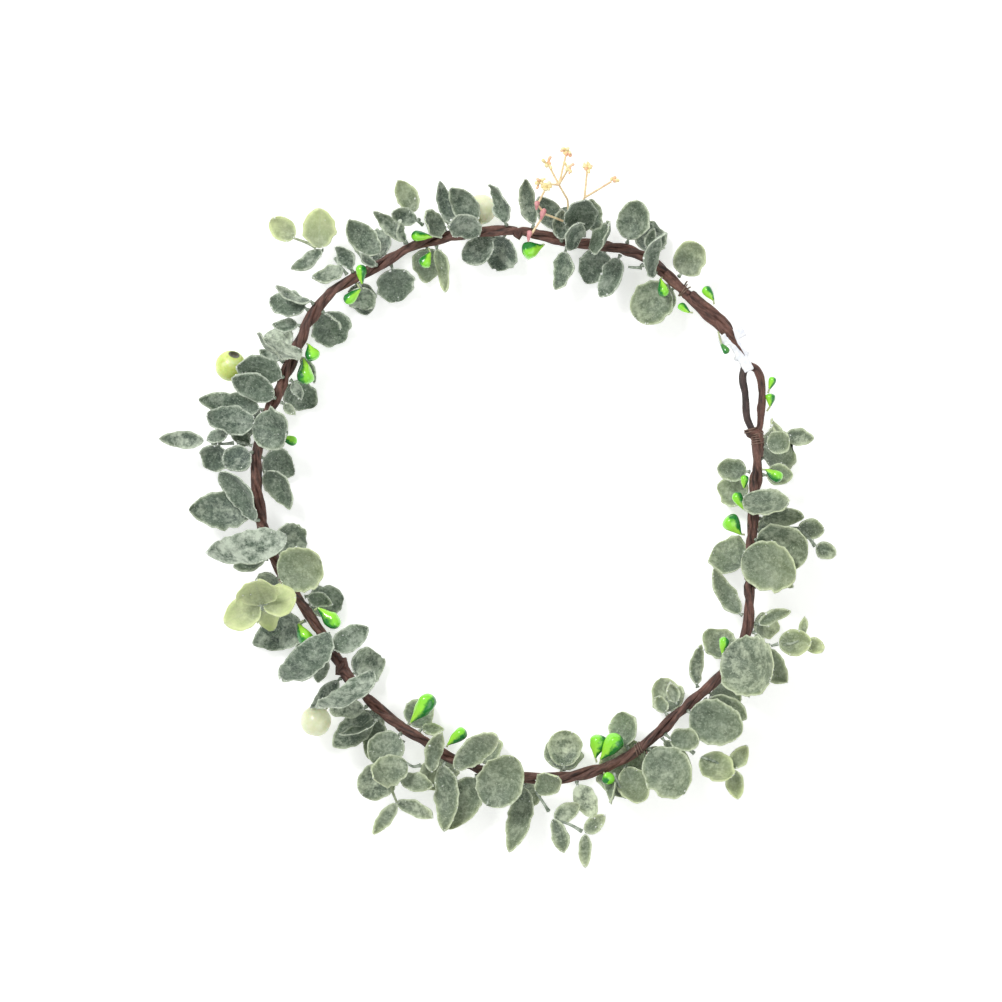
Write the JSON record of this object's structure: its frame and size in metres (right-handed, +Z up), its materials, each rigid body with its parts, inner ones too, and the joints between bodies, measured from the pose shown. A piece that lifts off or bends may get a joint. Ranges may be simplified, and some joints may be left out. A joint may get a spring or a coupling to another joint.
{
  "type": "flower crown",
  "caption": "Bendable wreath crown: a paper-taped wire ring open at one place, with wire eyes and a satin tie, carrying frosted eucalyptus sprigs, buds, berries and a flower spray.",
  "frame": {"origin": "centre of the ring, on the flat surface that the crown rests on", "axes": "+Z up, out of the plane of the ring; the opening of the ring lies at a bearing of 32 degrees from +X towards +Y"},
  "size_m": [0.2346, 0.2495, 0.0401],
  "materials": {
    "paper_tape": "crinkled matt paper tape",
    "wire": "satin lacquered iron wire",
    "binding_wire": "matt brown thin wire",
    "ribbon": "satin",
    "buds": "glossy lacquer",
    "green_berry": "pearly foam",
    "stalks": "matt green wire",
    "cream_berry": "pearly foam",
    "spray_stems": "matt",
    "blossoms": "matt",
    "leaves": "frosted matt",
    "young_leaves": "frosted matt"
  },
  "bodies": {
    "front": {"front_paper_tape": "paper_tape", "front_core_wires": "wire", "front_buds": "buds", "front_sprig_1": "leaves", "front_rosette": "young_leaves", "front_sprig_2": "leaves"},
    "upper_side": {"upper_side_paper_tape": "paper_tape", "upper_side_core_wires": "wire", "upper_side_buds": "buds", "upper_side_sprig_1": "leaves", "upper_side_sprig_2": "leaves", "upper_side_sprig_3": "leaves"},
    "upper_mid": {"upper_mid_paper_tape": "paper_tape", "upper_mid_core_wires": "wire", "upper_mid_buds": "buds", "upper_mid_sprig_1": "leaves", "upper_mid_sprig_2": "leaves"},
    "upper_end": {"upper_end_paper_tape": "paper_tape", "upper_end_core_wires": "wire", "upper_wire_eye": "paper_tape", "upper_neck_binding": "binding_wire", "tie_ribbon": "ribbon", "upper_end_buds": "buds", "upper_end_sprig_1": "leaves", "upper_end_sprig_2": "leaves"},
    "lower_side": {"lower_side_paper_tape": "paper_tape", "lower_side_core_wires": "wire", "lower_side_buds": "buds", "lower_side_sprig_1": "leaves", "lower_side_sprig_2": "leaves", "lower_side_sprig_3": "leaves", "lower_side_sprig_4": "leaves"},
    "lower_mid": {"lower_mid_paper_tape": "paper_tape", "lower_mid_core_wires": "wire", "lower_mid_binding": "binding_wire", "lower_mid_buds": "buds", "lower_mid_sprig_1": "leaves", "lower_mid_sprig_2": "leaves", "lower_mid_sprig_3": "leaves"},
    "lower_end": {"lower_end_paper_tape": "paper_tape", "lower_end_core_wires": "wire", "lower_wire_eye": "paper_tape", "lower_neck_binding": "binding_wire", "lower_end_buds": "buds", "lower_end_sprig_1": "leaves", "lower_end_sprig_2": "leaves"},
    "left_tip_sprig": {"left_tip_sprig": "young_leaves"},
    "upper_tip_sprig": {"upper_tip_sprig": "young_leaves"},
    "bottom_tip_sprig": {"bottom_tip_sprig": "young_leaves"},
    "corner_tip_sprig": {"corner_tip_sprig": "young_leaves"},
    "right_tip_sprig": {"right_tip_sprig": "young_leaves"},
    "flower_spray": {"flower_spray_stems": "spray_stems", "flower_spray_blossoms": "blossoms"},
    "green_berry": {"green_berry": "green_berry", "green_berry_stalk": "stalks"},
    "front_berry": {"front_berry": "cream_berry", "front_berry_stalk": "stalks"},
    "cream_berry": {"cream_berry": "cream_berry", "cream_berry_stalk": "stalks"}
  },
  "joints": [
    {"name": "ring_opening", "type": "hinge", "parent": "front", "child": "upper_side", "pos_m": [-0.089, -0.01172, 0.014], "axis": [0, 0, 1], "range_deg": [0, 4.5]},
    {"name": "upper_mid_bend", "type": "hinge", "parent": "upper_side", "child": "upper_mid", "pos_m": [-0.06731, 0.06897, 0.014], "axis": [0, 0, 1], "range_deg": [0, 4.5]},
    {"name": "upper_end_bend", "type": "hinge", "parent": "upper_mid", "child": "upper_end", "pos_m": [0, 0.09244, 0.014], "axis": [0, 0, 1], "range_deg": [0, 4.5]},
    {"name": "lower_side_bend", "type": "hinge", "parent": "front", "child": "lower_side", "pos_m": [-0.06175, -0.06026, 0.014], "axis": [0, 0, 1], "range_deg": [-4.5, 0]},
    {"name": "lower_mid_bend", "type": "hinge", "parent": "lower_side", "child": "lower_mid", "pos_m": [0.02643, -0.09661, 0.014], "axis": [0, 0, 1], "range_deg": [-4.5, 0]},
    {"name": "lower_end_bend", "type": "hinge", "parent": "lower_mid", "child": "lower_end", "pos_m": [0.08118, -0.03003, 0.014], "axis": [0, 0, 1], "range_deg": [-4.5, 0]},
    {"name": "left_sprig_bend", "type": "hinge", "parent": "upper_side", "child": "left_tip_sprig", "pos_m": [-0.09946, 0.01825, 0.014], "axis": [0, 0, 1], "range_deg": [-8, 8]},
    {"name": "upper_sprig_bend", "type": "hinge", "parent": "upper_mid", "child": "upper_tip_sprig", "pos_m": [-0.06608, 0.08458, 0.015], "axis": [0, 0, 1], "range_deg": [-8, 8]},
    {"name": "bottom_sprig_bend", "type": "hinge", "parent": "lower_side", "child": "bottom_tip_sprig", "pos_m": [-0.0446, -0.09831, 0.014], "axis": [0, 0, 1], "range_deg": [-8, 8]},
    {"name": "corner_sprig_bend", "type": "hinge", "parent": "lower_mid", "child": "corner_tip_sprig", "pos_m": [0.06215, -0.09077, 0.014], "axis": [0, 0, 1], "range_deg": [-8, 8]},
    {"name": "right_sprig_bend", "type": "hinge", "parent": "lower_mid", "child": "right_tip_sprig", "pos_m": [0.08864, -0.05284, 0.014], "axis": [0, 0, 1], "range_deg": [-8, 8]},
    {"name": "flower_spray_bend", "type": "hinge", "parent": "upper_end", "child": "flower_spray", "pos_m": [0.01791, 0.09478, 0.0175], "axis": [0, 0, 1], "range_deg": [-10, 10]},
    {"name": "green_berry_bend", "type": "hinge", "parent": "upper_side", "child": "green_berry", "pos_m": [-0.08925, 0.03918, 0.011], "axis": [0, 0, 1], "range_deg": [-8, 8]},
    {"name": "front_berry_bend", "type": "hinge", "parent": "lower_side", "child": "front_berry", "pos_m": [-0.0613, -0.06808, 0.012], "axis": [0, 0, 1], "range_deg": [-8, 8]},
    {"name": "cream_berry_bend", "type": "hinge", "parent": "upper_mid", "child": "cream_berry", "pos_m": [-0.01335, 0.09498, 0.0115], "axis": [0, 0, 1], "range_deg": [-6, 6]}
  ],
  "couplings": [
    {"joint": "upper_mid_bend", "follows": "ring_opening", "ratio": 1},
    {"joint": "upper_end_bend", "follows": "ring_opening", "ratio": 1},
    {"joint": "lower_side_bend", "follows": "ring_opening", "ratio": -1},
    {"joint": "lower_mid_bend", "follows": "ring_opening", "ratio": -1},
    {"joint": "lower_end_bend", "follows": "ring_opening", "ratio": -1}
  ]
}
